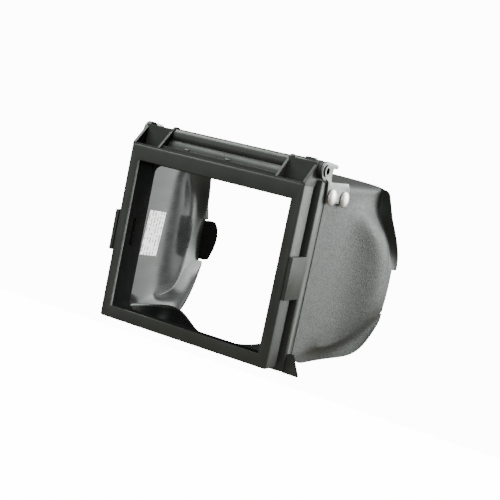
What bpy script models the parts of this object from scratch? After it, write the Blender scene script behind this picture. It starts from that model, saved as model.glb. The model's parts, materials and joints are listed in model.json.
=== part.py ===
"""Flip-up viewing hood: a mount frame with a hinged, face-shaped hood.

Metres, +Z up. The world origin is the middle of the bottom bar's front face, where the frame lies on a
viewfinder. Every number below is measured from the centre of the frame's front face (X to the right,
Y back towards the eye, Z up), and an empty there carries all the parts.
"""
import math

import bmesh
import bpy
from mathutils import Matrix, Vector

MM = 0.001

# Driving dimensions, in millimetres.
FRAME_W = 150.0            # front frame, outside
FRAME_H = 136.5
FRAME_DEPTH = 17.5         # front frame, front to back
BAR_SIDE = 8.05            # widths of the front bars
BAR_TOP = 11.6
BAR_BOTTOM = 9.6
PLATE = 3.0                # thickness of the front bars
WALL = 2.5                 # walls behind them
EDGE_R = 2.0               # rounding of the front frame
FIT = 0.3                  # gap between two pieces that touch
FLANGE_FRONT = 21.5        # rear frame's flange, front and back
FLANGE_BACK = 32.5
OPENING_R = 7.0            # rounded corners of its opening
OPENING_TOP = 53.5         # its upper edge, on a lip that hangs from the top bar
LIP_FRONT = 29.5
FLANGE_LIP = 3.2           # how far it stands out past the front frame
LUG_LOW = -15.9            # side lugs
LUG_HIGH = 15.6
HINGE_Y = 21.0             # hinge axis
HINGE_Z = 79.5
BOSS_R = 6.8               # round end of the gussets
GUSSET_IN = 50.2           # inner gusset, inner face
GUSSET_T = 2.0
HOOD_FRONT = 32.9          # front edge of the hood
HOOD_T = 2.0               # hood wall
PANEL_X = 77.9             # outside of the hood's flat side
SHAFT_R = 3.3              # hollow hinge shaft
SHAFT_BORE_R = 2.6
BRACKET_T = 1.5            # hinge bracket sheet
RIVETS = {"front": (38.0, 60.8), "rear": (61.0, 59.6)}
SCREWS = {"left": -31.0, "right": 5.0}
SCREW_Y = 9.0
STEP_Z = 71.0              # raised floor in the middle bay, under the screws
STEP_Y = (4.5, 13.0)
SCREW_BORE = 1.3           # half the width of the screws' square holes
RIDGE_Y = (1.2, 2.6)       # low ridge along the top of the front bar
RIDGE_RISE = 0.9
BAY_WALL_Y = (14.6, 16.1)  # back wall of the end bays
BAY_WALL_TOP = HINGE_Z + 4.9
CRADLE_T = 1.5             # trough under the hinge tube
CATCH_Y = (15.5, 20.5)     # catch slots in the spigot's side walls
CATCH_Z = (-12.0, 9.7)
FIN_X = (82.2, 89.4, 76.5) # fins at the flange's lower corners: top, foot and root
FIN_Y = (25.6, 28.4)
FIN_Z = (-72.6, -57.8)
GUARD_T = 1.6              # wall of the lower guard
NOTCH_Y = 160.0            # temple notches in the hood's rear edge
NOTCH_Z = (-33.5, 4.8)
FLAP_ROOT = (92.4, 160.6)  # where a temple flap meets the notch, and how thick it is
FLAP_T = 1.8
EAR_R = 6.9                # bracket's ear round the shaft
TAB_Y = 38.6               # bracket's stop tab
TAB_Z = 83.0
TAB_R = 1.55
JOGGLE_Z = (HINGE_Z - 8.0, HINGE_Z - 4.8)   # heights between which the left bracket steps in
CAP_R = 6.2                # rivets: domed cap, shank, rolled end, and the washer under it
CAP_EDGE = 0.7
CAP_RISE = 2.4
SHANK_R = 1.6
SHANK_BORE_R = 2.0
ROLLED_R = 2.7
ROLLED_LENGTH = 0.9
WASHER_R = 4.4
WASHER_BORE_R = 1.95
WASHER_T = 0.8
WASHER_GAP = 0.6
SHAFT_HEAD_R = 4.5         # spread ends of the shaft
SHAFT_HEAD_T = 0.9
BUSH_LENGTH = 4.0          # how far an inner bush reaches into the tube
BUSH_FLANGE_R = 6.3
COLLAR_R = 3.95
SPRING_WIRE_R = 0.5
SPRING_COIL_R = 4.3
SPRING_TURNS = 11
SPRING_SIDES = 14          # points per turn
SPRING_DROP = 0.3          # the coil sits this far behind the shaft's axis
SPRING_LEG = 7.0
LABEL_SIZE = (24.0, 37.0)  # paper label: width, height, thickness, middle and tilt
LABEL_T = 0.26
LABEL_AT = (54.5, -3.5)
LABEL_TILT = -4.5
LABEL_GAP = 0.25

HALF_W = FRAME_W / 2
HALF_H = FRAME_H / 2
FLANGE_X = HALF_W + FLANGE_LIP
FLANGE_Z = HALF_H + FLANGE_LIP
INNER_X = HALF_W - WALL
INNER_Z = HALF_H - WALL
FACE_CENTRE_Z = HALF_H - BAR_BOTTOM / 2     # centre of the front face above the world origin
GUSSET_OUT = INNER_X
BORE_R = SHAFT_R + FIT
BUSH_R = 4.4
TUBE_R = 5.8
BRACKET_IN = FLANGE_X + FIT

for old in list(bpy.data.objects):
    bpy.data.objects.remove(old, do_unlink=True)


def collection(name):
    made = bpy.data.collections.new(name)
    bpy.context.scene.collection.children.link(made)
    return made


PARTS = collection("viewing_hood")
CUTTERS = collection("cutters")


def empty(name, place, parent=None):
    made = bpy.data.objects.new(name, None)
    made.location = Vector(place) * MM
    made.parent = parent
    PARTS.objects.link(made)
    return made


FACE = empty("face_centre", (0.0, 0.0, FACE_CENTRE_Z))
HINGE = empty("hood_hinge", (0.0, HINGE_Y, HINGE_Z), FACE)


def material(name, colour, roughness, metallic=0.0):
    made = bpy.data.materials.new(name)
    made.use_nodes = True
    shader = made.node_tree.nodes["Principled BSDF"]
    shader.inputs["Base Color"].default_value = (*colour, 1.0)
    shader.inputs["Roughness"].default_value = roughness
    shader.inputs["Metallic"].default_value = metallic
    made.diffuse_color = (*colour, 1.0)
    return made


BLACK = material("black_plastic", (0.030, 0.032, 0.030), 0.45)
TUBE_BLACK = material("tube_black", (0.035, 0.035, 0.033), 0.30)
HOOD_GREY = material("grained_hood", (0.075, 0.080, 0.078), 0.55)
RUBBER = material("black_rubber", (0.012, 0.012, 0.012), 0.80)
STEEL = material("plated_steel", (0.60, 0.60, 0.61), 0.35, 1.0)
NICKEL = material("nickel_cap", (0.82, 0.81, 0.79), 0.15, 1.0)
PAPER = material("paper_label", (0.85, 0.85, 0.84), 0.60)


def finish(bm, name, skin, moving=False, parts=True, smooth=40.0, closed=True):
    """Turn a bmesh in millimetres into an object, under the hinge's empty where it moves."""
    bmesh.ops.scale(bm, vec=(MM, MM, MM), verts=bm.verts)
    if closed:
        bmesh.ops.recalc_face_normals(bm, faces=bm.faces)
    mesh = bpy.data.meshes.new(name)
    bm.to_mesh(mesh)
    bm.free()
    mesh.shade_smooth()
    mesh.set_sharp_from_angle(angle=math.radians(smooth))
    made = bpy.data.objects.new(name, mesh)
    made.parent = HINGE if moving else FACE
    if moving:
        made.location = Vector((0.0, -HINGE_Y, -HINGE_Z)) * MM
    if parts:
        PARTS.objects.link(made)
        mesh.materials.append(skin)
    else:
        CUTTERS.objects.link(made)
        made.hide_render = True
        made.display_type = "WIRE"
    return made


def box_bm(low, high):
    bm = bmesh.new()
    bmesh.ops.create_cube(bm, size=1.0)
    size = Vector(high) - Vector(low)
    bmesh.ops.scale(bm, vec=size, verts=bm.verts)
    bmesh.ops.translate(bm, vec=(Vector(high) + Vector(low)) / 2, verts=bm.verts)
    return bm


def box(name, low, high, skin=None, **more):
    return finish(box_bm(low, high), name, skin, **more)


def rounded_box(name, low, high, radius, skin, segments=3, **more):
    bm = box_bm(low, high)
    bmesh.ops.bevel(bm, geom=bm.edges[:], offset=radius, segments=segments, profile=0.5, affect="EDGES")
    return finish(bm, name, skin, **more)


def window(name, low, high, radius, **more):
    """A box along Y whose four long edges are rounded, to cut an opening with."""
    bm = box_bm(low, high)
    long_edges = [e for e in bm.edges if abs(e.verts[0].co.y - e.verts[1].co.y) > 0.5 * (high[1] - low[1])]
    bmesh.ops.bevel(bm, geom=long_edges, offset=radius, segments=5, profile=0.5, affect="EDGES")
    return finish(bm, name, None, **more)


def rod_bm(radius, x0, x1, y, z, sides=32):
    """A plain cylinder along X."""
    bm = bmesh.new()
    bmesh.ops.create_cone(bm, cap_ends=True, segments=sides, radius1=radius, radius2=radius, depth=x1 - x0)
    bmesh.ops.rotate(bm, matrix=Matrix.Rotation(math.pi / 2, 3, "Y"), verts=bm.verts)
    bmesh.ops.translate(bm, vec=((x0 + x1) / 2, y, z), verts=bm.verts)
    return bm


def rod(name, radius, x0, x1, y, z, skin=None, **more):
    return finish(rod_bm(radius, x0, x1, y, z), name, skin, **more)


def arc(cy, cz, radius, start, end, steps=12):
    """Points on a circle from one angle to another, in degrees, ends included."""
    angles = [math.radians(start + (end - start) * i / steps) for i in range(steps + 1)]
    return [(cy + radius * math.cos(a), cz + radius * math.sin(a)) for a in angles]


def plate_x(name, outline, x0, x1, skin=None, **more):
    """A flat plate whose outline is given as (Y, Z), from x0 to x1."""
    curve = bpy.data.curves.new(name, "CURVE")
    curve.dimensions = "2D"
    curve.fill_mode = "BOTH"
    curve.extrude = abs(x1 - x0) / 2
    spline = curve.splines.new("POLY")
    spline.points.add(len(outline) - 1)
    for point, (y, z) in zip(spline.points, outline):
        point.co = (y, z, 0.0, 1.0)
    spline.use_cyclic_u = True
    drawn = bpy.data.objects.new(name + "_drawn", curve)
    CUTTERS.objects.link(drawn)
    evaluated = drawn.evaluated_get(bpy.context.evaluated_depsgraph_get())
    mesh = bpy.data.meshes.new_from_object(evaluated)
    bm = bmesh.new()
    bm.from_mesh(mesh)
    bpy.data.objects.remove(drawn, do_unlink=True)
    bpy.data.meshes.remove(mesh)
    bmesh.ops.remove_doubles(bm, verts=bm.verts, dist=0.001)
    for vert in bm.verts:
        y, z, x = vert.co
        vert.co = ((x0 + x1) / 2 + x, y, z)
    return finish(bm, name, skin, **more)


def turned(name, profile, place, skin, toward=1.0, steps=32, **more):
    """A body turned about X through place: profile lists (radius, distance along X)."""
    bm = bmesh.new()
    verts = [bm.verts.new((r, 0.0, d)) for r, d in profile]
    for a, b in zip(verts, verts[1:]):
        bm.edges.new((a, b))
    closed = profile[0][0] > 0.0 and profile[-1][0] > 0.0
    if closed:
        bm.edges.new((verts[-1], verts[0]))
    made = finish(bm, name, skin, **more)
    place = Vector(place) * MM
    made.location = made.location + place
    made.rotation_euler = (0.0, toward * math.pi / 2, 0.0)
    screw = made.modifiers.new("turn", "SCREW")
    screw.axis = "Z"
    screw.steps = steps
    screw.render_steps = steps
    screw.use_merge_vertices = True
    screw.merge_threshold = 0.00001
    screw.use_normal_flip = False
    return made


def boolean(target, tool, operation):
    step = target.modifiers.new(tool.name, "BOOLEAN")
    step.operation = operation
    step.solver = "EXACT"
    step.object = tool
    return step


def cut(target, tool):
    return boolean(target, tool, "DIFFERENCE")


def join(target, tool):
    return boolean(target, tool, "UNION")


def helper(maker, name, *args, **more):
    return maker(name, *args, parts=False, **more)


def gusset_outline():
    """The side of a gusset: up the slope, round the boss, and down to the frame."""
    top = arc(HINGE_Y, HINGE_Z, BOSS_R, 128.0, -62.0, 14)
    return [(1.2, HALF_H - 1.5), (1.2, HALF_H + 1.0)] + top + [(20.6, FLANGE_Z + 1.0), (17.0, HALF_H - 1.5)]


def cradle_outline():
    """Section of the trough that the hinge tube lies in, which closes the gap below the tube."""
    outer = arc(HINGE_Y, HINGE_Z, TUBE_R + FIT + CRADLE_T, -20.0, -125.0, 10)
    inner = arc(HINGE_Y, HINGE_Z, TUBE_R + FIT, -150.0, -20.0, 12)
    return outer + [(15.4, HALF_H - 0.6), (11.6, HALF_H - 0.6), (11.6, STEP_Z - 0.5), (13.2, STEP_Z + 3.2)] + inner


def front_frame():
    """Front bars, walls, and the hinge beam with its four gussets."""
    frame = rounded_box("front_frame", (-HALF_W, 0.0, -HALF_H), (HALF_W, FRAME_DEPTH, HALF_H), EDGE_R, BLACK)
    hollow_low = (-INNER_X, PLATE, -INNER_Z)
    cut(frame, helper(box, "frame_hollow", hollow_low, (INNER_X, FRAME_DEPTH + 5.0, INNER_Z)))
    window_low = (-HALF_W + BAR_SIDE, -5.0, -HALF_H + BAR_BOTTOM)
    cut(frame, helper(box, "frame_window", window_low, (HALF_W - BAR_SIDE, 10.0, HALF_H - BAR_TOP)))
    for side in (-1, 1):
        for place, inner, thick in (("end", GUSSET_OUT, WALL), ("mid", GUSSET_IN, GUSSET_T)):
            x0, x1 = sorted((side * inner, side * (inner + thick)))
            name = "%s_gusset_%s" % (place, "right" if side > 0 else "left")
            join(frame, helper(plate_x, name, gusset_outline(), x0, x1))
        low = GUSSET_IN + GUSSET_T / 2
        x0, x1 = sorted((side * low, side * (GUSSET_OUT + WALL / 2)))
        wall = (x0, BAY_WALL_Y[0], HALF_H - 1.0), (x1, BAY_WALL_Y[1], BAY_WALL_TOP)
        join(frame, helper(box, "bay_wall_%d" % side, *wall))
    end = HALF_W - PLATE
    ridge = (-end, RIDGE_Y[0], HALF_H - 1.0), (end, RIDGE_Y[1], HALF_H + RIDGE_RISE)
    join(frame, helper(box, "front_ridge", *ridge))
    end = GUSSET_IN + 0.4 * GUSSET_T
    step = (-end, STEP_Y[0], HALF_H - 1.3), (end, STEP_Y[1], STEP_Z)
    join(frame, helper(box, "screw_step", *step))
    end = GUSSET_IN + 0.6 * GUSSET_T
    join(frame, helper(plate_x, "tube_cradle", cradle_outline(), -end, end))
    reach = HALF_W + 5.0
    cut(frame, helper(rod, "bush_bore", BUSH_R + FIT, -reach, reach, HINGE_Y, HINGE_Z))
    for word, x in SCREWS.items():
        low = (x - SCREW_BORE, SCREW_Y - SCREW_BORE, HALF_H - 8.0)
        bore = low, (x + SCREW_BORE, SCREW_Y + SCREW_BORE, STEP_Z + 4.0)
        cut(frame, helper(box, "screw_bore_" + word, *bore))
    weld = frame.modifiers.new("weld", "WELD")
    weld.merge_threshold = 0.00001
    return frame


def skirt_fin(side):
    """A web beside the flange's lower corner, which grows wider towards the bottom."""
    top_x, foot_x, root_x = FIN_X
    bm = box_bm((root_x, FIN_Y[0], FIN_Z[0]), (foot_x, FIN_Y[1], FIN_Z[1]))
    for vert in bm.verts:
        if vert.co.z > -HALF_H and vert.co.x > FLANGE_X:
            vert.co.x = top_x
        vert.co.x *= side
    return finish(bm, "skirt_fin_%d" % side, None, parts=False)


def rear_frame():
    """Flange ring, the spigot that enters the front frame, and the side lugs."""
    low = (-FLANGE_X, FLANGE_FRONT, -FLANGE_Z)
    frame = rounded_box("rear_frame", low, (FLANGE_X, FLANGE_BACK, FLANGE_Z), 1.2, BLACK, segments=2)
    out_x = INNER_X - FIT
    out_z = INNER_Z - FIT
    join(frame, helper(box, "spigot", (-out_x, PLATE + 2.0, -out_z), (out_x, FLANGE_FRONT + 3.0, out_z)))
    for side in (-1, 1):
        x0, x1 = sorted((side * (HALF_W + FIT), side * FLANGE_X))
        lug = helper(box, "lug_%d" % side, (x0, 0.3, LUG_LOW), (x1, FLANGE_FRONT + 3.0, LUG_HIGH))
        join(frame, lug)
    for side in (-1, 1):
        join(frame, skirt_fin(side))
    in_x = out_x - 1.5
    in_z = out_z - 1.5
    opening = (-in_x, 0.0, -in_z), (in_x, FLANGE_BACK + 5.0, OPENING_TOP), OPENING_R
    cut(frame, helper(window, "rear_opening", *opening))
    recess = (-in_x, 0.5, 0.0), (in_x, LIP_FRONT, in_z), OPENING_R
    cut(frame, helper(window, "top_recess", *recess))
    slots = (-INNER_X, CATCH_Y[0], CATCH_Z[0]), (INNER_X, CATCH_Y[1], CATCH_Z[1])
    cut(frame, helper(box, "catch_slots", *slots))
    return frame


# Rim, wall foot, floor and front edge of the lower guard, from its right end to the middle.
GUARD_CAGE = (
    ((72.6, 32.8, -61.0), (72.6, 32.8, -71.5), (69.4, 32.8, -73.0), (64.0, 32.8, -71.2)),
    ((72.2, 46.0, -61.5), (71.8, 46.0, -75.0), (65.0, 40.0, -75.0), (56.0, 32.8, -71.2)),
    ((69.8, 56.0, -62.0), (68.6, 60.5, -79.0), (60.0, 44.0, -76.5), (48.0, 32.8, -71.2)),
    ((64.6, 66.5, -61.8), (63.2, 68.5, -80.5), (54.0, 47.0, -77.0), (40.0, 32.8, -71.2)),
    ((57.5, 72.0, -60.3), (56.5, 71.5, -79.5), (47.0, 47.0, -76.5), (33.0, 32.8, -71.2)),
    ((46.5, 71.5, -60.8), (45.5, 70.0, -78.0), (38.0, 47.0, -75.5), (27.0, 32.8, -71.2)),
    ((36.0, 68.5, -65.8), (36.0, 66.5, -77.5), (30.0, 46.0, -75.0), (21.0, 32.8, -71.2)),
    ((27.5, 64.0, -69.0), (28.0, 62.0, -76.0), (22.0, 45.0, -74.5), (15.0, 32.8, -71.2)),
    ((18.0, 57.0, -70.6), (18.0, 55.5, -75.0), (12.0, 44.0, -74.0), (8.0, 32.8, -71.2)),
    ((0.0, 53.5, -71.0), (0.0, 52.0, -74.8), (0.0, 43.0, -73.8), (0.0, 32.8, -71.2)),
)

ALONG_TOP = (0.0, 0.22, 0.40, 0.55, 0.68, 0.80, 0.91, 1.0)


def side_row(height, *rest):
    """A row up the hood's side: two points on the flat panel, then the flare, crown, dent and lip."""
    return ((PANEL_X, HOOD_FRONT, height), (PANEL_X, 60.0, height), *rest)


def top_row(x, front_z, rear_z, rear_y):
    """A row along the hood's nearly flat top."""
    return tuple((x, HOOD_FRONT + (rear_y - HOOD_FRONT) * t, front_z + (rear_z - front_z) * t) for t in ALONG_TOP)


# Outside of the hood's right half. Each row runs from the front edge to the rear edge, and the rows go
# from the bottom rim, over the valley and the crease, up the side, to the middle of the top.
HOOD_CAGE = (
    ((77.4, HOOD_FRONT, -61.5), (76.6, 50.0, -68.6), (70.8, 74.0, -72.2), (70.0, 99.0, -73.2),
     (74.6, 117.0, -72.0), (83.6, 137.0, -69.8), (88.0, 152.0, -59.5), (91.6, 166.0, -37.6)),
    ((77.8, HOOD_FRONT, -58.5), (77.5, 52.0, -63.8), (72.6, 72.0, -62.8), (72.6, 99.0, -63.6),
     (75.4, 119.0, -62.4), (80.0, 139.0, -57.0), (85.4, 153.0, -48.5), (90.4, 164.0, -35.2)),
    ((77.9, HOOD_FRONT, -55.5), (77.9, 53.0, -57.5), (77.6, 66.0, -59.8), (80.0, 100.0, -58.8),
     (85.4, 120.5, -50.2), (90.6, 137.5, -37.0), (92.6, 150.0, -32.6), (92.4, 167.0, -31.6)),
    side_row(-32.0, (79.4, 85.0, -36.0), (84.2, 107.0, -38.0), (92.6, 130.0, -30.0), (94.6, 142.0, -26.5),
             (94.0, 152.5, -25.0), (92.4, 168.0, -23.0)),
    side_row(-10.0, (79.8, 87.0, -10.0), (86.8, 113.0, -10.0), (94.8, 133.0, -11.0), (95.6, 145.0, -11.5),
             (94.6, 154.0, -12.0), (92.6, 168.0, -10.0)),
    side_row(10.0, (79.8, 87.0, 12.0), (86.8, 111.0, 12.0), (94.6, 130.5, 12.0), (95.2, 145.5, 11.0),
             (91.8, 156.0, 8.5), (95.0, 167.5, 6.6)),
    side_row(23.0, (79.7, 86.0, 24.0), (86.0, 107.5, 24.0), (93.0, 123.5, 25.0), (93.6, 141.0, 24.5),
             (89.2, 152.5, 23.0), (95.2, 162.0, 19.0)),
    side_row(34.0, (79.5, 84.5, 35.0), (84.6, 101.5, 35.5), (90.2, 115.0, 36.0), (90.6, 134.0, 35.0),
             (86.4, 146.5, 34.5), (94.2, 152.0, 33.0)),
    side_row(45.0, (79.0, 80.0, 47.0), (82.0, 93.0, 48.0), (84.8, 104.5, 48.0), (84.4, 120.0, 46.5),
             (81.4, 134.5, 47.5), (91.6, 142.5, 45.8)),
    side_row(56.0, (78.2, 80.0, 57.0), (78.5, 96.0, 57.5), (78.9, 110.0, 57.5), (79.1, 123.0, 57.0),
             (79.5, 136.0, 57.0), (89.2, 137.5, 57.0)),
    side_row(66.5, (78.0, 80.0, 66.6), (78.5, 96.0, 66.6), (78.9, 110.0, 66.7), (79.2, 123.0, 66.8),
             (79.8, 136.0, 67.0), (85.6, 135.5, 67.8)),
    ((75.2, HOOD_FRONT, 71.8), (75.4, 60.0, 71.4), (75.6, 80.0, 71.3), (75.9, 96.0, 71.2),
     (76.2, 110.0, 71.1), (76.6, 123.0, 71.1), (77.0, 132.0, 71.2), (79.6, 135.0, 71.6)),
    top_row(50.0, 75.0, 73.3, 124.0),
    top_row(25.0, 76.1, 74.6, 109.0),
    top_row(0.0, 76.5, 75.0, 104.0),
)
CREASED = {                # lines of the cage that stay crisp: (rows, columns) to sharpness
    (2, 2, 2, 6): 0.80,
    (3, 9, 5, 5): 0.25,
    (5, 10, 6, 6): 0.50,
    (10, 10, 0, 7): 0.35,
}


def face_outward(bm):
    """Turn an open surface's faces away from the line through the middle of the hood."""
    bmesh.ops.recalc_face_normals(bm, faces=bm.faces)
    bm.normal_update()
    away = 0.0
    for face in bm.faces:
        middle = face.calc_center_median()
        away += face.calc_area() * (face.normal.x * middle.x + face.normal.z * middle.z)
    if away < 0.0:
        bmesh.ops.reverse_faces(bm, faces=bm.faces)


def shell(name, cage, thickness, skin, levels, inward, creased=None, **more):
    """A thin wall over a cage of one half, mirrored, smoothed and given its thickness."""
    bm = bmesh.new()
    grid = [[bm.verts.new(point) for point in row] for row in cage]
    for row, above in zip(grid, grid[1:]):
        for i in range(len(row) - 1):
            bm.faces.new((row[i], row[i + 1], above[i + 1], above[i]))
    face_outward(bm)
    sharpness = bm.edges.layers.float.new("crease_edge")
    for (row0, row1, column0, column1), value in (creased or {}).items():
        line = [grid[r][c] for r in range(row0, row1 + 1) for c in range(column0, column1 + 1)]
        for a, b in zip(line, line[1:]):
            bm.edges.get((a, b))[sharpness] = value
    made = finish(bm, name, skin, closed=False, **more)
    mirror = made.modifiers.new("mirror", "MIRROR")
    mirror.merge_threshold = 0.00001
    smooth = made.modifiers.new("smooth", "SUBSURF")
    smooth.levels = levels
    smooth.render_levels = levels
    wall = made.modifiers.new("wall", "SOLIDIFY")
    wall.thickness = thickness * MM
    wall.offset = inward
    wall.use_even_offset = True
    return made


def lower_guard():
    """The black scoop behind the bottom bar, cut low in the middle for the nose."""
    return shell("lower_guard", GUARD_CAGE, GUARD_T, BLACK, 1, 1.0)


def hood_shell():
    hood = shell("hood_shell", HOOD_CAGE, HOOD_T, HOOD_GREY, 1, -1.0, creased=CREASED, moving=True)
    for side in (-1, 1):
        x0, x1 = sorted((side * (PANEL_X + 2.1), side * (PANEL_X + 32.1)))
        notch = (x0, NOTCH_Y, NOTCH_Z[0]), (x1, NOTCH_Y + 30.0, NOTCH_Z[1])
        cut(hood, helper(box, "temple_notch_%d" % side, *notch, moving=True))
        x0, x1 = sorted((side * (PANEL_X - 8.0), side * (PANEL_X + 12.0)))
        for end, (y, z) in RIVETS.items():
            name = "hood_bore_%s_%d" % (end, side)
            cut(hood, helper(rod, name, SHANK_BORE_R, x0, x1, y, z, moving=True))
    return hood


def temple_flap(side, word):
    """A soft half-moon leaf that closes the notch at the temple and turns in towards the face."""
    rows = ((0.0, 3.9, -31.0), (5.0, 4.6, -31.8), (10.0, 4.2, -30.5), (13.0, -1.0, -20.5), (14.2, -7.5, -13.0))
    root = Vector((*FLAP_ROOT, 0.0))
    along = Vector((-0.92, 0.39, 0.0))
    across = Vector((0.39, 0.92, 0.0))
    bm = bmesh.new()
    ring = [root + along * u + Vector((0, 0, top)) for u, top, _ in rows]
    ring += [root + along * u + Vector((0, 0, bottom)) for u, _, bottom in reversed(rows)]
    face = bm.faces.new([bm.verts.new((side * p.x, p.y, p.z)) for p in ring])
    grown = bmesh.ops.extrude_face_region(bm, geom=[face])
    offset = across * FLAP_T
    moved = [v for v in grown["geom"] if isinstance(v, bmesh.types.BMVert)]
    bmesh.ops.translate(bm, vec=(side * offset.x, offset.y, 0.0), verts=moved)
    return finish(bm, "temple_flap_" + word, RUBBER, moving=True)


def bracket_outline():
    """Ear round the shaft, stop tab, neck and the riveted plate, as (Y, Z)."""
    plate = [(31.6, 56.0), (69.5, 56.0), (69.5, 66.8), (64.6, 71.6), (33.2, 71.6), (32.0, 76.0), (33.0, 81.6)]
    tab = arc(TAB_Y, TAB_Z, TAB_R, -90.0, 80.0, 6)
    ear = arc(HINGE_Y, HINGE_Z, EAR_R, 84.0, 298.0, 18)
    return plate + tab + ear + [(28.4, 71.4)]


def hinge_bracket(side, word):
    """The right one is flat; the left one is joggled in, so that its ear lies against the gusset."""
    x0, x1 = sorted((side * BRACKET_IN, side * (BRACKET_IN + BRACKET_T)))
    bracket = plate_x("hinge_bracket_" + word, bracket_outline(), x0, x1, STEEL, moving=True)
    if side < 0:
        shift = BRACKET_IN - HALF_W - FIT
        bm = bmesh.new()
        bm.from_mesh(bracket.data)
        for level in JOGGLE_Z:
            geom = bm.verts[:] + bm.edges[:] + bm.faces[:]
            bmesh.ops.bisect_plane(bm, geom=geom, plane_co=(0, 0, level * MM), plane_no=(0, 0, 1))
        for vert in bm.verts:
            rise = (vert.co.z / MM - JOGGLE_Z[0]) / (JOGGLE_Z[1] - JOGGLE_Z[0])
            vert.co.x += shift * MM * min(max(rise, 0.0), 1.0)
        bm.to_mesh(bracket.data)
        bm.free()
    reach = sorted((side * 60.0, side * 95.0))
    cut(bracket, helper(rod, "ear_bore_" + word, BORE_R, reach[0], reach[1], HINGE_Y, HINGE_Z, moving=True))
    for end, (y, z) in RIVETS.items():
        name = "bracket_bore_%s_%s" % (end, word)
        cut(bracket, helper(rod, name, SHANK_BORE_R, reach[0], reach[1], y, z, moving=True))
    return bracket


def cap_rivet(side, word, end, place):
    """Domed cap and hollow-set shank in one turned body, with a burr washer inside the hood."""
    head_x = BRACKET_IN + BRACKET_T + FIT
    washer_front = -(head_x - PANEL_X + HOOD_T + WASHER_GAP)
    washer_back = washer_front - WASHER_T
    tail = washer_back - ROLLED_LENGTH
    angles = [math.radians(15 * i) for i in range(5, -1, -1)]
    dome = [(CAP_R * math.cos(a), CAP_EDGE + CAP_RISE * math.sin(a)) for a in angles]
    shank = [(CAP_R, 0.0), (SHANK_R, 0.0), (SHANK_R, washer_back), (ROLLED_R, tail + 0.3), (ROLLED_R, tail)]
    profile = [(0.0, CAP_EDGE + CAP_RISE)] + dome + shank + [(0.0, tail)]
    at = (side * head_x, *place)
    turned("cap_rivet_%s_%s" % (end, word), profile, at, NICKEL, toward=side, steps=24, moving=True)
    washer = [(WASHER_R, washer_front), (WASHER_R, washer_back),
              (WASHER_BORE_R, washer_back), (WASHER_BORE_R, washer_front)]
    turned("burr_washer_%s_%s" % (end, word), washer, at, STEEL, toward=side, steps=24, moving=True)


def hinge_parts():
    """Shaft, bushes, centre tube, right-hand collar, and the spring in the left bay."""
    axis = (0.0, HINGE_Y, HINGE_Z)
    left = -(HALF_W + 2 * FIT + BRACKET_T)
    right = BRACKET_IN + BRACKET_T + FIT
    shaft = [(SHAFT_HEAD_R, right + SHAFT_HEAD_T), (SHAFT_HEAD_R, right), (SHAFT_R, right), (SHAFT_R, left),
             (SHAFT_HEAD_R, left), (SHAFT_HEAD_R, left - SHAFT_HEAD_T), (SHAFT_BORE_R, left - SHAFT_HEAD_T),
             (SHAFT_BORE_R, right + SHAFT_HEAD_T)]
    turned("hinge_shaft", shaft, axis, STEEL, moving=True)
    end = GUSSET_IN - FIT
    tube = [(TUBE_R, end), (TUBE_R, -end), (BUSH_R + FIT, -end), (BUSH_R + FIT, end)]
    turned("hinge_tube", tube, axis, TUBE_BLACK)
    for side, word in ((-1, "left"), (1, "right")):
        low, high = GUSSET_IN - BUSH_LENGTH, GUSSET_IN + GUSSET_T
        body = [(BUSH_R, high), (BUSH_R, low), (BORE_R, low), (BORE_R, high)]
        turned("inner_bush_" + word, body, axis, RUBBER, toward=side)
    plain = [(BUSH_R, HALF_W), (BUSH_R, GUSSET_OUT), (BORE_R, GUSSET_OUT), (BORE_R, HALF_W)]
    turned("end_bush_left", plain, axis, RUBBER, toward=-1)
    boss = BRACKET_IN - FIT
    flanged = [(BUSH_FLANGE_R, boss), (BUSH_FLANGE_R, HALF_W + FIT), (BUSH_R, HALF_W + FIT),
               (BUSH_R, GUSSET_OUT), (BORE_R, GUSSET_OUT), (BORE_R, boss)]
    turned("end_bush_right", flanged, axis, RUBBER)
    bay_collar(GUSSET_IN + GUSSET_T + FIT, GUSSET_OUT - FIT)


def bay_collar(x0, x1):
    """Sleeve in the right bay with a flat front and a small key on top."""
    collar = rod("bay_collar", COLLAR_R, x0, x1, HINGE_Y, HINGE_Z, TUBE_BLACK)
    join(collar, helper(rod, "collar_body", TUBE_R, x0, x1, HINGE_Y + 2.6, HINGE_Z + 0.6))
    flat = (x0 - 5.0, 0.0, HINGE_Z - 20.0), (x1 + 5.0, HINGE_Y - 3.7, HINGE_Z + 20.0)
    cut(collar, helper(box, "collar_flat", *flat))
    key = (61.8, HINGE_Y - 1.0, HINGE_Z + 4.5), (70.0, HINGE_Y + 2.5, HINGE_Z + 7.4)
    join(collar, helper(box, "collar_key", *key))
    cut(collar, helper(rod, "collar_bore", BORE_R, x0 - 5.0, x1 + 5.0, HINGE_Y, HINGE_Z))


def torsion_spring():
    """A coil round the shaft in the left bay, with one leg down."""
    coil_y = HINGE_Y + SPRING_DROP
    start = -(GUSSET_OUT - FIT - SPRING_WIRE_R)
    end = -(GUSSET_IN + GUSSET_T + FIT + SPRING_WIRE_R)
    count = SPRING_TURNS * SPRING_SIDES
    points = [(start, coil_y + SPRING_COIL_R, HINGE_Z - SPRING_LEG)]
    for i in range(count + 1):
        a = 2 * math.pi * i / SPRING_SIDES
        x = start + (end - start) * i / count
        points.append((x, coil_y + SPRING_COIL_R * math.cos(a), HINGE_Z + SPRING_COIL_R * math.sin(a)))
    curve = bpy.data.curves.new("torsion_spring", "CURVE")
    curve.dimensions = "3D"
    curve.bevel_depth = SPRING_WIRE_R * MM
    curve.bevel_resolution = 1
    curve.use_fill_caps = True
    curve.materials.append(STEEL)
    spline = curve.splines.new("POLY")
    spline.points.add(len(points) - 1)
    for slot, point in zip(spline.points, points):
        slot.co = (*(Vector(point) * MM), 1.0)
    made = bpy.data.objects.new("torsion_spring", curve)
    made.parent = FACE
    PARTS.objects.link(made)


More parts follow.
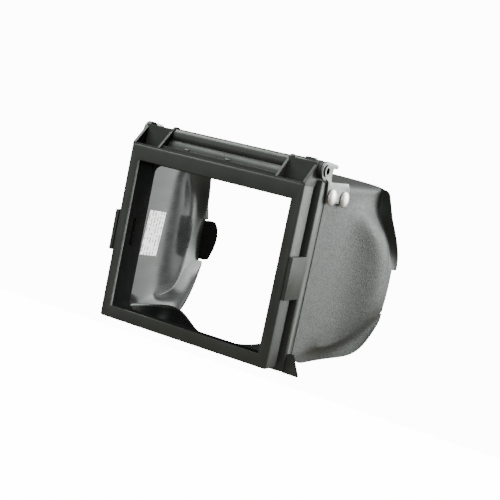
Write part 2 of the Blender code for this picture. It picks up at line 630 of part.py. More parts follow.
def beam_screws():
    for word, x in SCREWS.items():
        profile = [(0.0, 1.3), (1.6, 1.1), (2.3, 0.5), (2.3, 0.0), (1.0, 0.0), (1.0, -4.0), (0.0, -4.0)]
        screw = turned("beam_screw_" + word, profile, (x, SCREW_Y, STEP_Z + FIT), STEEL, steps=20)
        screw.rotation_euler = (0.0, 0.0, 0.0)


def label_plate():
    """Blank paper label on the inside of the hood's left wall."""
    half = Vector((LABEL_T, *LABEL_SIZE)) / 2
    bm = box_bm(-half, half)
    bmesh.ops.rotate(bm, matrix=Matrix.Rotation(math.radians(LABEL_TILT), 3, "X"), verts=bm.verts)
    bmesh.ops.translate(bm, vec=(LABEL_GAP - (PANEL_X - HOOD_T), *LABEL_AT), verts=bm.verts)
    return finish(bm, "label_plate", PAPER, moving=True)


front_frame()
rear_frame()
lower_guard()
hood_shell()
hinge_parts()
torsion_spring()
beam_screws()
label_plate()
for SIDE, WORD in ((-1, "left"), (1, "right")):
    temple_flap(SIDE, WORD)
    hinge_bracket(SIDE, WORD)
    for END, PLACE in RIVETS.items():
        cap_rivet(SIDE, WORD, END, PLACE)
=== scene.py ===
"""Looks of the flip-up viewing hood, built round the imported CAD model. Metres, +Z up."""
import json
import math

import bmesh
import bpy
from mathutils import Matrix, Vector


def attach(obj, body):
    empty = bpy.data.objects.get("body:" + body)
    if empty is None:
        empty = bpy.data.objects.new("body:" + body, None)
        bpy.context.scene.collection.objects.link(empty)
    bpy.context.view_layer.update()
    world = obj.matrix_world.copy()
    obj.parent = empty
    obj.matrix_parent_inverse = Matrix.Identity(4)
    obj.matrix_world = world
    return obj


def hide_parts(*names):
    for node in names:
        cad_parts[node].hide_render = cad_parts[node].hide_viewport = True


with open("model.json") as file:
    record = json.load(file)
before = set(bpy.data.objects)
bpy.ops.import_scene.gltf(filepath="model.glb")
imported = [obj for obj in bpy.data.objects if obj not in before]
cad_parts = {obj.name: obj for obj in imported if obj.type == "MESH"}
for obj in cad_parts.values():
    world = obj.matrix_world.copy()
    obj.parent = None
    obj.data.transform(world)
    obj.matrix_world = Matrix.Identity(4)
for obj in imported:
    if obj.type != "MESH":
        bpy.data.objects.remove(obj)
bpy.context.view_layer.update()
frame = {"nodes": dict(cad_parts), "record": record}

MM = 0.001
HINGE_Z = frame["record"]["behaviour"]["joints"][0]["pos_m"][2]
FACE_Z = HINGE_Z - 79.5 * MM         # height of the front frame's centre; the lists below start there
BODIES = frame["record"]["behaviour"]["bodies"]
PIECES = bpy.data.collections.new("looks")
bpy.context.scene.collection.children.link(PIECES)


# Materials ---------------------------------------------------------------------------------------

SHEEN = (0.86, 1.0, 0.90, 1.0)       # the faint green of the plastics' reflections
LABEL_LEAN = 4.5                     # degrees the label leans from upright
LABEL_PITCH = 4.2 * MM               # from one rule of dashes to the next
# painted light: the label's paper glows with this strength, though it is no lamp
LABEL_PAINTED_GLOW = 1.2                     # lifts the paper out of the hood's shade


class Look:
    """A Principled material that is put together from a few nodes."""

    def __init__(self, name, roughness, metallic=0.0, specular=0.5):
        self.material = bpy.data.materials.new(name)
        self.material.use_nodes = True
        self.tree = self.material.node_tree
        self.shader = self.tree.nodes["Principled BSDF"]
        self.shader.inputs["Roughness"].default_value = roughness
        self.shader.inputs["Metallic"].default_value = metallic
        self.shader.inputs["Specular IOR Level"].default_value = specular
        self.shader.inputs["Specular Tint"].default_value = SHEEN
        self.place = self.add("ShaderNodeTexCoord").outputs["Object"]
        self.normal = None

    def add(self, kind, **values):
        node = self.tree.nodes.new(kind)
        for key, value in values.items():
            setattr(node, key, value)
        return node

    def link(self, out, into):
        self.tree.links.new(out, into)

    def noise(self, scale, detail=3.0, rough=0.5, stretch=(1, 1, 1)):
        mapping = self.add("ShaderNodeMapping")
        mapping.inputs["Scale"].default_value = stretch
        self.link(self.place, mapping.inputs["Vector"])
        node = self.add("ShaderNodeTexNoise")
        node.inputs["Scale"].default_value = scale
        node.inputs["Detail"].default_value = detail
        node.inputs["Roughness"].default_value = rough
        self.link(mapping.outputs["Vector"], node.inputs["Vector"])
        return node.outputs["Fac"]

    def cells(self, scale, feature="F1", stretch=(1, 1, 1)):
        mapping = self.add("ShaderNodeMapping")
        mapping.inputs["Scale"].default_value = stretch
        self.link(self.place, mapping.inputs["Vector"])
        node = self.add("ShaderNodeTexVoronoi", feature=feature)
        node.inputs["Scale"].default_value = scale
        self.link(mapping.outputs["Vector"], node.inputs["Vector"])
        return node.outputs["Distance"]

    def ramp(self, fac, stops):
        node = self.add("ShaderNodeValToRGB")
        bar = node.color_ramp
        while len(bar.elements) < len(stops):
            bar.elements.new(0.5)
        for element, (position, colour) in zip(bar.elements, stops):
            element.position = position
            element.color = (*colour, 1.0) if len(colour) == 3 else colour
        self.link(fac, node.inputs["Fac"])
        return node.outputs["Color"]

    def value_range(self, fac, low, high, start=0.3, end=0.7):
        node = self.add("ShaderNodeMapRange")
        for key, value in (("From Min", start), ("From Max", end), ("To Min", low), ("To Max", high)):
            node.inputs[key].default_value = value
        self.link(fac, node.inputs["Value"])
        return node.outputs["Result"]

    def mix(self, fac, first, second, blend="MIX"):
        node = self.add("ShaderNodeMix", data_type="RGBA", blend_type=blend)
        if isinstance(fac, float):
            node.inputs[0].default_value = fac
        else:
            self.link(fac, node.inputs[0])
        for socket, value in ((node.inputs[6], first), (node.inputs[7], second)):
            if isinstance(value, tuple):
                socket.default_value = (*value, 1.0)
            else:
                self.link(value, socket)
        return node.outputs[2]

    def colour(self, out):
        self.link(out, self.shader.inputs["Base Color"])

    def roughness(self, out):
        self.link(out, self.shader.inputs["Roughness"])

    def bump(self, height, strength, distance):
        """Adds one more layer of relief over those already there."""
        node = self.add("ShaderNodeBump")
        node.inputs["Strength"].default_value = strength
        node.inputs["Distance"].default_value = distance
        self.link(height, node.inputs["Height"])
        if self.normal is not None:
            self.link(self.normal, node.inputs["Normal"])
        self.normal = node.outputs["Normal"]
        self.link(self.normal, self.shader.inputs["Normal"])


def tint(colour, factor):
    return tuple(min(1.0, c * factor) for c in colour)


def moulded_plastic(name, colour, roughness, specular=0.5):
    """Injection-moulded plastic: a fine spark-eroded skin with faint clouding and scuffs."""
    look = Look(name, roughness, specular=specular)
    cloud = look.noise(38.0, 4.0, 0.6)
    look.colour(look.ramp(cloud, ((0.30, tint(colour, 0.82)), (0.70, tint(colour, 1.18)))))
    look.roughness(look.value_range(look.noise(90.0, 5.0, 0.7), roughness - 0.07, roughness + 0.09))
    look.bump(look.noise(1500.0, 2.0, 0.6), 0.12, 0.00005)
    look.bump(look.noise(45.0, 2.0, 0.5), 0.04, 0.0003)
    return look.material


def leather_grain(name, colour, roughness):
    """The hood's outside: vacuum-formed sheet with a pebbled leather grain, its crease lines darkened as
    painted shade.
    """
    look = Look(name, roughness, specular=0.40)
    pebble = look.cells(1150.0)
    crease = look.cells(760.0, "DISTANCE_TO_EDGE")
    cloud = look.noise(22.0, 4.0, 0.6)
    base = look.ramp(cloud, ((0.28, tint(colour, 0.86)), (0.72, tint(colour, 1.14))))
    # painted shade: the grain's crease lines are darkened where shade would fall in them
    crease_shade = look.ramp(crease, ((0.0, (0.45, 0.45, 0.45)), (0.12, (1.0, 1.0, 1.0))))
    look.colour(look.mix(0.45, base, crease_shade, "MULTIPLY"))
    look.roughness(look.value_range(look.noise(420.0, 3.0, 0.7), roughness - 0.10, roughness + 0.12))
    look.bump(pebble, 0.60, 0.00022)
    look.bump(look.value_range(crease, 0.0, 1.0, 0.0, 0.18), 0.30, 0.00014)
    look.bump(look.noise(160.0, 2.0, 0.6), 0.12, 0.0003)
    return look.material


def smooth_sheet(name, colour, roughness):
    """The hood's inside: the smooth face of the same sheet, with drawing marks along the pull."""
    look = Look(name, roughness, specular=0.20)
    streak = look.noise(60.0, 4.0, 0.6, (1.0, 0.35, 1.6))
    look.colour(look.ramp(streak, ((0.30, tint(colour, 0.86)), (0.72, tint(colour, 1.12)))))
    patches = look.noise(70.0, 4.0, 0.6, (1, 0.3, 1.5))
    look.roughness(look.value_range(patches, roughness - 0.05, roughness + 0.06))
    look.bump(look.noise(150.0, 2.0, 0.5, (1.0, 0.3, 2.0)), 0.10, 0.0002)
    return look.material


def rubber(name, colour):
    look = Look(name, 0.75, specular=0.25)
    look.colour(look.ramp(look.noise(55.0), ((0.3, tint(colour, 0.8)), (0.7, tint(colour, 1.3)))))
    look.roughness(look.value_range(look.noise(160.0), 0.62, 0.85))
    look.bump(look.noise(1100.0, 2.0, 0.6), 0.25, 0.0001)
    return look.material


def sheet_metal(name, colour, roughness, stretch=(1.0, 1.0, 14.0)):
    """Plated sheet with the faint lines of its rolling and small dull patches."""
    look = Look(name, roughness, metallic=1.0)
    line = look.noise(170.0, 4.0, 0.6, stretch)
    look.colour(look.ramp(line, ((0.25, tint(colour, 0.86)), (0.75, tint(colour, 1.08)))))
    look.roughness(look.value_range(look.noise(120.0, 4.0, 0.7), roughness - 0.08, roughness + 0.12))
    look.bump(line, 0.12, 0.00012)
    return look.material


def polished_nickel(name, colour):
    """Bright domed caps, slightly warm, with hairline wear."""
    look = Look(name, 0.26, metallic=0.60)
    look.colour(look.ramp(look.noise(160.0), ((0.3, tint(colour, 0.94)), (0.7, tint(colour, 1.05)))))
    look.roughness(look.value_range(look.noise(340.0, 5.0, 0.7), 0.30, 0.42))
    look.bump(look.noise(240.0, 3.0, 0.6), 0.05, 0.0001)
    return look.material


def label_paper(name):
    """White paper with plain grey rules of broken dashes, which spell nothing; paper and print also glow,
    which is painted light.
    """
    look = Look(name, 0.55, specular=0.35)
    split = look.add("ShaderNodeSeparateXYZ")
    look.link(look.place, split.inputs["Vector"])
    across = look.add("ShaderNodeMath", operation="MULTIPLY_ADD")
    look.link(split.outputs["Z"], across.inputs[0])
    across.inputs[1].default_value = -math.tan(math.radians(LABEL_LEAN))
    look.link(split.outputs["Y"], across.inputs[2])
    rule = look.add("ShaderNodeMath", operation="SINE")
    wide = look.add("ShaderNodeMath", operation="MULTIPLY")
    look.link(across.outputs["Value"], wide.inputs[0])
    wide.inputs[1].default_value = 2.0 * math.pi / LABEL_PITCH
    look.link(wide.outputs["Value"], rule.inputs[0])
    lines = look.ramp(rule.outputs["Value"], ((0.10, (0.0, 0.0, 0.0)), (0.45, (1.0, 1.0, 1.0))))
    breaks = look.noise(420.0, 2.0, 0.6, (0.2, 0.35, 1.0))
    dashes = look.ramp(breaks, ((0.44, (0.0, 0.0, 0.0)), (0.52, (1.0, 1.0, 1.0))))
    ink = look.mix(lines, (0.0, 0.0, 0.0), dashes)
    printed = look.mix(ink, (0.95, 0.95, 0.94), (0.22, 0.22, 0.23))
    look.colour(printed)
    # painted light: the printed colour also glows, lifting the label out of the hood's shade
    look.link(printed, look.shader.inputs["Emission Color"])
    look.shader.inputs["Emission Strength"].default_value = LABEL_PAINTED_GLOW
    look.bump(look.noise(700.0), 0.08, 0.0001)
    return look.material


FRAME_BLACK = moulded_plastic("frame_black", (0.046, 0.049, 0.044), 0.40, 0.32)
# painted shade: a near-black, dull copy of the frame's plastic on the window's inner walls stands in for
# the shade there
INNER_PAINTED_SHADE = moulded_plastic("inner_black", (0.008, 0.008, 0.008), 0.85, 0.04)
GUARD_BLACK = moulded_plastic("guard_black", (0.020, 0.021, 0.020), 0.34)
TUBE_BLACK = moulded_plastic("tube_black", (0.040, 0.040, 0.036), 0.30, 0.55)
BUSH_BLACK = moulded_plastic("bush_black", (0.018, 0.018, 0.018), 0.50)
HOOD_OUTSIDE = leather_grain("hood_outside", (0.030, 0.033, 0.031), 0.42)
HOOD_INSIDE = smooth_sheet("hood_inside", (0.024, 0.026, 0.025), 0.17)
# painted highlight: the sheets' cut edges get a lighter copy of the plastic, standing in for the light they
# catch
RIM_PAINTED_HIGHLIGHT = moulded_plastic("hood_rim", (0.055, 0.059, 0.057), 0.40)
RUBBER = rubber("flap_rubber", (0.010, 0.010, 0.010))
STEEL = sheet_metal("bracket_steel", (0.20, 0.20, 0.20), 0.42)
SHAFT_STEEL = sheet_metal("shaft_steel", (0.14, 0.14, 0.14), 0.34, (8.0, 1.0, 1.0))
SCREW_STEEL = sheet_metal("screw_steel", (0.10, 0.10, 0.10), 0.34)
NICKEL = polished_nickel("cap_nickel", (1.0, 0.96, 0.90))
PAPER = label_paper("label_paper")


# Carried-over CAD pieces ---------------------------------------------------------------------------

SAME_POINT = 0.000002
FLAT_ANGLE = 0.6            # degrees: faces that meet flatter than this are joined
CRISP_ANGLE = 32.0          # degrees: edges sharper than this are rounded
# where the painted shade on the window's inner walls begins and ends
PAINTED_SHADE_X, PAINTED_SHADE_Y, PAINTED_SHADE_Z = 73 * MM, 2.5 * MM, 66 * MM     # half width, front and half height
LEANS_IN = -0.01 * MM


def refined(node_name, body, skins, bevel, inner=None):
    """A copy of a CAD piece with its edges rounded. inner picks the second skin's faces."""
    node = frame["nodes"][node_name]
    bm = bmesh.new()
    bm.from_mesh(node.data)
    bmesh.ops.remove_doubles(bm, verts=bm.verts, dist=SAME_POINT)
    bmesh.ops.dissolve_limit(bm, angle_limit=math.radians(FLAT_ANGLE), verts=bm.verts, edges=bm.edges)
    bm.normal_update()
    for face in bm.faces:
        face.smooth = True
        face.material_index = 1 if inner and inner(face) else 0
    mesh = bpy.data.meshes.new(node_name + "_fine")
    bm.to_mesh(mesh)
    bm.free()
    for skin in skins:
        mesh.materials.append(skin)
    piece = bpy.data.objects.new(node_name + "_fine", mesh)
    PIECES.objects.link(piece)
    edge = piece.modifiers.new("edge", "BEVEL")
    edge.width = bevel * MM
    edge.segments = 3
    edge.limit_method = "ANGLE"
    edge.angle_limit = math.radians(CRISP_ANGLE)
    edge.use_clamp_overlap = True
    edge.harden_normals = True
    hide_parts(node_name)
    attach(piece, body)
    return piece


def faces_inward(face):
    """True for the painted shade: walls of the window behind the front bars, given a near-black copy of the
    plastic for the shade that falls there.
    """
    middle = face.calc_center_median()
    height = middle.z - FACE_Z
    side = abs(middle.x) < PAINTED_SHADE_X and face.normal.x * middle.x < LEANS_IN
    level = abs(height) < PAINTED_SHADE_Z and face.normal.z * height < LEANS_IN
    return middle.y > PAINTED_SHADE_Y and (side or level)


SKIN_OF = {                 # by how the piece's name starts; the rest is steel
    "inner_bush": BUSH_BLACK,
    "end_bush": BUSH_BLACK,
    "hinge_tube": TUBE_BLACK,
    "bay_collar": TUBE_BLACK,
    "hinge_shaft": SHAFT_STEEL,
    "beam_screw": SCREW_STEEL,
    "cap_rivet": NICKEL,
    "label_plate": PAPER,
}

for name in BODIES["frame"] + BODIES["hood"]:
    slots = frame["nodes"][name].data.materials
    slots.clear()
    slots.append(next((skin for start, skin in SKIN_OF.items() if name.startswith(start)), STEEL))

refined("front_frame", "frame", [FRAME_BLACK, INNER_PAINTED_SHADE], 0.45, inner=faces_inward)
refined("rear_frame", "frame", [FRAME_BLACK, INNER_PAINTED_SHADE], 0.6, inner=faces_inward)
refined("bay_collar", "frame", [TUBE_BLACK], 0.3)
refined("hinge_bracket_left", "hood", [STEEL], 0.3)
refined("hinge_bracket_right", "hood", [STEEL], 0.3)


# Hood ----------------------------------------------------------------------------------------------

PANEL_X = 77.9              # outside of the hood's flat side
HOOD_FRONT_Y = 32.9
HOOD_WALL = 2.0
GUARD_WALL = 1.6
NOTCH_Y, NOTCH_LOW, NOTCH_TOP = 160.0, -33.5, 4.8      # the temple flap's place in the rear edge
ALONG_TOP = (0.0, 0.22, 0.40, 0.55, 0.68, 0.80, 0.91, 1.0)


def side_row(height, *rest):
    """A row up the hood's side: two points on the flat panel, then the flare, crown, dent and lip."""
    return ((PANEL_X, HOOD_FRONT_Y, height), (PANEL_X, 60.0, height), *rest)


def top_row(x, front_z, rear_z, rear_y):
    """A row along the hood's nearly flat top."""
    return tuple((x, HOOD_FRONT_Y + (rear_y - HOOD_FRONT_Y) * t, front_z + (rear_z - front_z) * t)
                 for t in ALONG_TOP)


# Outside of the hood's right half. Each row runs from the front edge to the rear edge, and the rows go
# from the bottom rim, over the valley and the crease, up the side, to the middle of the top.
HOOD_CAGE = (
    ((77.4, HOOD_FRONT_Y, -61.5), (76.6, 50.0, -68.6), (70.8, 74.0, -72.2), (70.0, 99.0, -73.2),
     (74.6, 117.0, -72.0), (83.6, 137.0, -69.8), (88.0, 152.0, -59.5), (91.6, 166.0, -37.6)),
    ((77.8, HOOD_FRONT_Y, -58.5), (77.5, 52.0, -63.8), (72.6, 72.0, -62.8), (72.6, 99.0, -63.6),
     (75.4, 119.0, -62.4), (80.0, 139.0, -57.0), (85.4, 153.0, -48.5), (90.4, 164.0, -35.2)),
    ((77.9, HOOD_FRONT_Y, -55.5), (77.9, 53.0, -57.5), (77.6, 66.0, -59.8), (80.0, 100.0, -58.8),
     (85.4, 120.5, -50.2), (90.6, 137.5, -37.0), (92.6, 150.0, -32.6), (92.4, 167.0, -31.6)),
    side_row(-32.0, (79.4, 85.0, -36.0), (84.2, 107.0, -38.0), (92.6, 130.0, -30.0), (94.6, 142.0, -26.5),
             (94.0, 152.5, -25.0), (92.4, 168.0, -23.0)),
    side_row(-10.0, (79.8, 87.0, -10.0), (86.8, 113.0, -10.0), (94.8, 133.0, -11.0), (95.6, 145.0, -11.5),
             (94.6, 154.0, -12.0), (92.6, 168.0, -10.0)),
    side_row(10.0, (79.8, 87.0, 12.0), (86.8, 111.0, 12.0), (94.6, 130.5, 12.0), (95.2, 145.5, 11.0),
             (91.8, 156.0, 8.5), (95.0, 167.5, 6.6)),
    side_row(23.0, (79.7, 86.0, 24.0), (86.0, 107.5, 24.0), (93.0, 123.5, 25.0), (93.6, 141.0, 24.5),
             (89.2, 152.5, 23.0), (95.2, 162.0, 19.0)),
    side_row(34.0, (79.5, 84.5, 35.0), (84.6, 101.5, 35.5), (90.2, 115.0, 36.0), (90.6, 134.0, 35.0),
             (86.4, 146.5, 34.5), (94.2, 152.0, 33.0)),
    side_row(45.0, (79.0, 80.0, 47.0), (82.0, 93.0, 48.0), (84.8, 104.5, 48.0), (84.4, 120.0, 46.5),
             (81.4, 134.5, 47.5), (91.6, 142.5, 45.8)),
    side_row(56.0, (78.2, 80.0, 57.0), (78.5, 96.0, 57.5), (78.9, 110.0, 57.5), (79.1, 123.0, 57.0),
             (79.5, 136.0, 57.0), (89.2, 137.5, 57.0)),
    side_row(66.5, (78.0, 80.0, 66.6), (78.5, 96.0, 66.6), (78.9, 110.0, 66.7), (79.2, 123.0, 66.8),
             (79.8, 136.0, 67.0), (85.6, 135.5, 67.8)),
    ((75.2, HOOD_FRONT_Y, 71.8), (75.4, 60.0, 71.4), (75.6, 80.0, 71.3), (75.9, 96.0, 71.2),
     (76.2, 110.0, 71.1), (76.6, 123.0, 71.1), (77.0, 132.0, 71.2), (79.6, 135.0, 71.6)),
    top_row(50.0, 75.0, 73.3, 124.0),
    top_row(25.0, 76.1, 74.6, 109.0),
    top_row(0.0, 76.5, 75.0, 104.0),
)
CREASED = {                # lines of the cage that stay crisp: (rows, columns) to sharpness
    (2, 2, 2, 6): 0.80,
    (3, 9, 5, 5): 0.25,
    (5, 10, 6, 6): 0.50,
    (10, 10, 0, 7): 0.35,
}


def face_outward(bm):
    """Turns an open surface's faces away from the line through the middle of the hood."""
    bmesh.ops.recalc_face_normals(bm, faces=bm.faces)
    bm.normal_update()
    away = 0.0
    for face in bm.faces:
        middle = face.calc_center_median()
        away += face.calc_area() * (face.normal.x * middle.x + face.normal.z * (middle.z - FACE_Z))
    if away < 0.0:
        bmesh.ops.reverse_faces(bm, faces=bm.faces)


def cage_mesh(name, cage, sharp=None):
    bm = bmesh.new()
    grid = [[bm.verts.new((x * MM, y * MM, z * MM + FACE_Z)) for x, y, z in row] for row in cage]
    for row, above in zip(grid, grid[1:]):
        for i in range(len(row) - 1):
            bm.faces.new((row[i], row[i + 1], above[i + 1], above[i]))
    layer = bm.edges.layers.float.new("crease_edge")
    for (r0, r1, c0, c1), value in (sharp or {}).items():
        line = [grid[r][c] for r in range(r0, r1 + 1) for c in range(c0, c1 + 1)]
        for a, b in zip(line, line[1:]):
            bm.edges.get((a, b))[layer] = value
    face_outward(bm)
    for face in bm.faces:
        face.smooth = True
    mesh = bpy.data.meshes.new(name)
    bm.to_mesh(mesh)
    bm.free()
    return mesh


def shell(name, cage, thickness, levels, inward, skins, sharp=None):
    """A wall over a cage of one half: mirrored, smoothed and given its thickness."""
    piece = bpy.data.objects.new(name, cage_mesh(name, cage, sharp))
    PIECES.objects.link(piece)
    for skin in skins:
        piece.data.materials.append(skin)
    mirror = piece.modifiers.new("mirror", "MIRROR")
    mirror.merge_threshold = 0.00001
    smooth = piece.modifiers.new("smooth", "SUBSURF")
    smooth.levels = levels
    smooth.render_levels = levels
    wall = piece.modifiers.new("wall", "SOLIDIFY")
    wall.thickness = thickness * MM
    wall.offset = inward
    wall.use_even_offset = True
    wall.material_offset = 1
    wall.material_offset_rim = 2
    return piece


def cutter(name, low, high):
    """A box between two corners, heights counted from FACE_Z."""
    bm = bmesh.new()
    bmesh.ops.create_cube(bm, size=1.0)
    size = [(b - a) * MM for a, b in zip(low, high)]
    middle = [(a + b) / 2 * MM for a, b in zip(low, high)]
    middle[2] += FACE_Z
    bmesh.ops.scale(bm, vec=size, verts=bm.verts)
    bmesh.ops.translate(bm, vec=middle, verts=bm.verts)
    mesh = bpy.data.meshes.new(name)
    bm.to_mesh(mesh)
    bm.free()
    made = bpy.data.objects.new(name, mesh)
    PIECES.objects.link(made)
    return made


def baked(piece):
    """The piece with its modifiers applied."""
    evaluated = piece.evaluated_get(bpy.context.evaluated_depsgraph_get())
    mesh = bpy.data.meshes.new_from_object(evaluated)
    piece.modifiers.clear()
    old = piece.data
    piece.data = mesh
    bpy.data.meshes.remove(old)
    return piece


def hood_moulding():
    # the third skin, on the cut edges, is the painted highlight
    skins = [HOOD_OUTSIDE, HOOD_INSIDE, RIM_PAINTED_HIGHLIGHT]
    hood = shell("hood_moulding", HOOD_CAGE, HOOD_WALL, 4, -1.0, skins, CREASED)
    tools = []
    for side in (-1, 1):
        x0, x1 = sorted((side * 80.0, side * 110.0))
        tools.append(cutter("notch_%d" % side, (x0, NOTCH_Y, NOTCH_LOW), (x1, 190.0, NOTCH_TOP)))
    for tool in tools:
        step = hood.modifiers.new(tool.name, "BOOLEAN")
        step.operation = "DIFFERENCE"
        step.solver = "EXACT"
        step.object = tool
    bpy.context.view_layer.update()
    baked(hood)
    for tool in tools:
        bpy.data.objects.remove(tool, do_unlink=True)
    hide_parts("hood_shell")
    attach(hood, "hood")


GUARD_CAGE = (
    ((72.6, 32.8, -61.0), (72.6, 32.8, -71.5), (69.4, 32.8, -73.0), (64.0, 32.8, -71.2)),
    ((72.2, 46.0, -61.5), (71.8, 46.0, -75.0), (65.0, 40.0, -75.0), (56.0, 32.8, -71.2)),
    ((69.8, 56.0, -62.0), (68.6, 60.5, -79.0), (60.0, 44.0, -76.5), (48.0, 32.8, -71.2)),
    ((64.6, 66.5, -61.8), (63.2, 68.5, -80.5), (54.0, 47.0, -77.0), (40.0, 32.8, -71.2)),
    ((57.5, 72.0, -60.3), (56.5, 71.5, -79.5), (47.0, 47.0, -76.5), (33.0, 32.8, -71.2)),
    ((46.5, 71.5, -60.8), (45.5, 70.0, -78.0), (38.0, 47.0, -75.5), (27.0, 32.8, -71.2)),
    ((36.0, 68.5, -65.8), (36.0, 66.5, -77.5), (30.0, 46.0, -75.0), (21.0, 32.8, -71.2)),
    ((27.5, 64.0, -69.0), (28.0, 62.0, -76.0), (22.0, 45.0, -74.5), (15.0, 32.8, -71.2)),
    ((18.0, 57.0, -70.6), (18.0, 55.5, -75.0), (12.0, 44.0, -74.0), (8.0, 32.8, -71.2)),
    ((0.0, 53.5, -71.0), (0.0, 52.0, -74.8), (0.0, 43.0, -73.8), (0.0, 32.8, -71.2)),
)


def guard():
    # the third skin, on the cut edges, is the painted highlight
    skins = [GUARD_BLACK, GUARD_BLACK, RIM_PAINTED_HIGHLIGHT]
    piece = baked(shell("guard_moulding", GUARD_CAGE, GUARD_WALL, 3, 1.0, skins))
    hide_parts("lower_guard")
    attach(piece, "frame")


FLAP_ROOT_Y = 162.4          # behind this the leaf is free; in front of it, it laps onto the hood's wall
FLAP_LAP = 2.4


def temple_flap(word):
    """Half-moon rubber leaf, slightly cupped, with a rounded edge and its root on the wall's inside."""
    piece = refined("temple_flap_" + word, "hood", [RUBBER], 0.5)
    for vertex in piece.data.vertices:
        if vertex.co.y < FLAP_ROOT_Y * MM:
            vertex.co.y -= FLAP_LAP * MM


hood_moulding()
guard()
temple_flap("left")
temple_flap("right")


# Stage ---------------------------------------------------------------------------------------------

LIGHT_AROUND = (           # bearing in degrees from +X toward +Y, and the light from there
    (-180, 0.05), (-150, 0.09), (-60, 0.09), (-10, 0.04), (18, 0.05), (36, 0.62), (50, 0.95), (66, 1.00),
    (69, 0.08), (80, 0.05), (84, 0.13), (93, 0.13), (98, 0.02), (130, 0.01), (180, 0.04),
)
LIGHT_UPWARD = (           # sine of the height, and the tint and strength of the light
    (-0.60, (0.03, 0.027, 0.022)), (-0.44, (0.05, 0.040, 0.025)), (-0.33, (0.07, 0.060, 0.045)),
    (-0.17, (0.66,) * 3), (-0.05, (0.85,) * 3), (0.16, (1.60,) * 3), (0.40, (1.30,) * 3), (1.0, (1.1,) * 3),
)
SWEEP = 9.0                 # strength of all that light
BACKDROP_SEEN = 16.0        # what the camera itself sees behind and under the object
FLOOR_SEEN = 15.0
FLOOR_Z = -0.42
FLOOR_SIZE = 3.0
TOP_POWER = 6.0             # watts of the softbox over the object
TOP_PLACE = (-0.50, 0.05, FACE_Z + 0.85)
TOP_SIZE = (0.5, 0.5)
MIDDLE = (0.0, 0.07, FACE_Z)
CAMERA_TURN, CAMERA_RISE, CAMERA_ROLL = 27.67, 7.46, 11.79
CAMERA_PLACE = (0.4083, -0.6959, FACE_Z + 0.1157)
CAMERA_LENS, CAMERA_SENSOR = 79.2, 36.0

def area_light(name, place, target, size, power):
    light = bpy.data.lights.new(name, "AREA")
    light.shape = "RECTANGLE"
    light.size, light.size_y = size
    light.energy = power
    made = bpy.data.objects.new(name, light)
    made.location = place
    made.rotation_euler = (Vector(target) - made.location).to_track_quat("-Z", "Y").to_euler()
    PIECES.objects.link(made)


def only_for_camera(tree, seen, otherwise):
    """A value that differs between what the picture shows and what lights the object."""
    path = tree.nodes.new("ShaderNodeLightPath")
    step = tree.nodes.new("ShaderNodeMapRange")
    step.inputs["To Min"].default_value = otherwise
    step.inputs["To Max"].default_value = seen
    tree.links.new(path.outputs["Is Camera Ray"], step.inputs["Value"])
    return step.outputs["Result"]


def graded(tree, value, low, high, stops):
    """A ramp whose stops are given in the value's own units."""
    ramp = tree.nodes.new("ShaderNodeValToRGB")
    bar = ramp.color_ramp
    while len(bar.elements) < len(stops):
        bar.elements.new(0.5)
    for element, (at, colour) in zip(bar.elements, stops):
        element.position = (at - low) / (high - low)
        element.color = (*colour, 1.0)
    fit = tree.nodes.new("ShaderNodeMapRange")
    fit.inputs["From Min"].default_value = low
    fit.inputs["From Max"].default_value = high
    tree.links.new(value, fit.inputs["Value"])
    tree.links.new(fit.outputs["Result"], ramp.inputs["Fac"])
    return ramp.outputs["Color"]


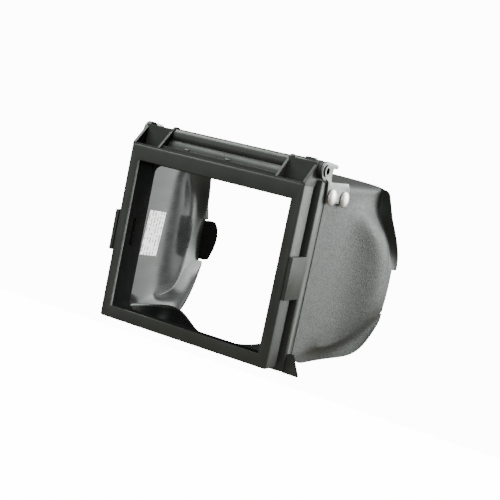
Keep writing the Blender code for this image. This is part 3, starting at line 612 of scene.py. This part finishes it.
def studio_world():
    """White to the camera. The object is lit by one tall window and a dimmer panel in a dim room."""
    world = bpy.data.worlds.new("studio")
    bpy.context.scene.world = world
    world.use_nodes = True
    tree = world.node_tree
    place = tree.nodes.new("ShaderNodeTexCoord")
    split = tree.nodes.new("ShaderNodeSeparateXYZ")
    tree.links.new(place.outputs["Generated"], split.inputs["Vector"])
    bearing = tree.nodes.new("ShaderNodeMath")
    bearing.operation = "ARCTAN2"
    tree.links.new(split.outputs["Y"], bearing.inputs[0])
    tree.links.new(split.outputs["X"], bearing.inputs[1])
    around = [(math.radians(at), (light,) * 3) for at, light in LIGHT_AROUND]
    level = graded(tree, bearing.outputs["Value"], -math.pi, math.pi, around)
    height = graded(tree, split.outputs["Z"], -1.0, 1.0, LIGHT_UPWARD)
    both = tree.nodes.new("ShaderNodeMix")
    both.data_type = "RGBA"
    both.blend_type = "MULTIPLY"
    both.inputs[0].default_value = 1.0
    tree.links.new(level, both.inputs[6])
    tree.links.new(height, both.inputs[7])
    background = tree.nodes["Background"]
    background.inputs["Strength"].default_value = SWEEP
    tree.links.new(both.outputs[2], background.inputs["Color"])
    seen = tree.nodes.new("ShaderNodeBackground")
    seen.inputs["Strength"].default_value = BACKDROP_SEEN
    path = tree.nodes.new("ShaderNodeLightPath")
    choose = tree.nodes.new("ShaderNodeMixShader")
    tree.links.new(path.outputs["Is Camera Ray"], choose.inputs["Fac"])
    tree.links.new(background.outputs["Background"], choose.inputs[1])
    tree.links.new(seen.outputs["Background"], choose.inputs[2])
    tree.links.new(choose.outputs["Shader"], tree.nodes["World Output"].inputs["Surface"])


def stage():
    bpy.ops.mesh.primitive_plane_add(size=FLOOR_SIZE, location=(0.0, 0.0, FLOOR_Z))
    floor = bpy.context.object
    floor.name = "floor"
    look = Look("floor_paper", 0.9, specular=0.1)
    look.colour(look.ramp(look.noise(3.0), ((0.3, (0.150, 0.130, 0.105)), (0.7, (0.160, 0.138, 0.110)))))
    look.shader.inputs["Emission Color"].default_value = (1.0, 0.995, 0.985, 1.0)
    look.link(only_for_camera(look.tree, FLOOR_SEEN, 0.0), look.shader.inputs["Emission Strength"])
    floor.data.materials.append(look.material)
    studio_world()
    area_light("top_softbox", TOP_PLACE, MIDDLE, TOP_SIZE, TOP_POWER)


def photo_camera():
    """Turned to the object's right, a little above it, and rolled."""
    turn, rise, roll = (math.radians(angle) for angle in (CAMERA_TURN, CAMERA_RISE, CAMERA_ROLL))
    back = Vector((math.sin(turn) * math.cos(rise), -math.cos(turn) * math.cos(rise), math.sin(rise)))
    level = Vector((math.cos(turn), math.sin(turn), 0.0))
    up = back.cross(level)
    right = math.cos(roll) * level + math.sin(roll) * up
    above = math.cos(roll) * up - math.sin(roll) * level
    lens = bpy.data.cameras.new("photo_camera")
    lens.lens = CAMERA_LENS
    lens.sensor_width = CAMERA_SENSOR
    lens.clip_start = 0.01
    camera = bpy.data.objects.new("photo_camera", lens)
    pose = Matrix((right, above, back)).transposed().to_4x4()
    pose.translation = Vector(CAMERA_PLACE)
    camera.matrix_world = pose
    PIECES.objects.link(camera)
    bpy.context.scene.camera = camera


stage()
photo_camera()
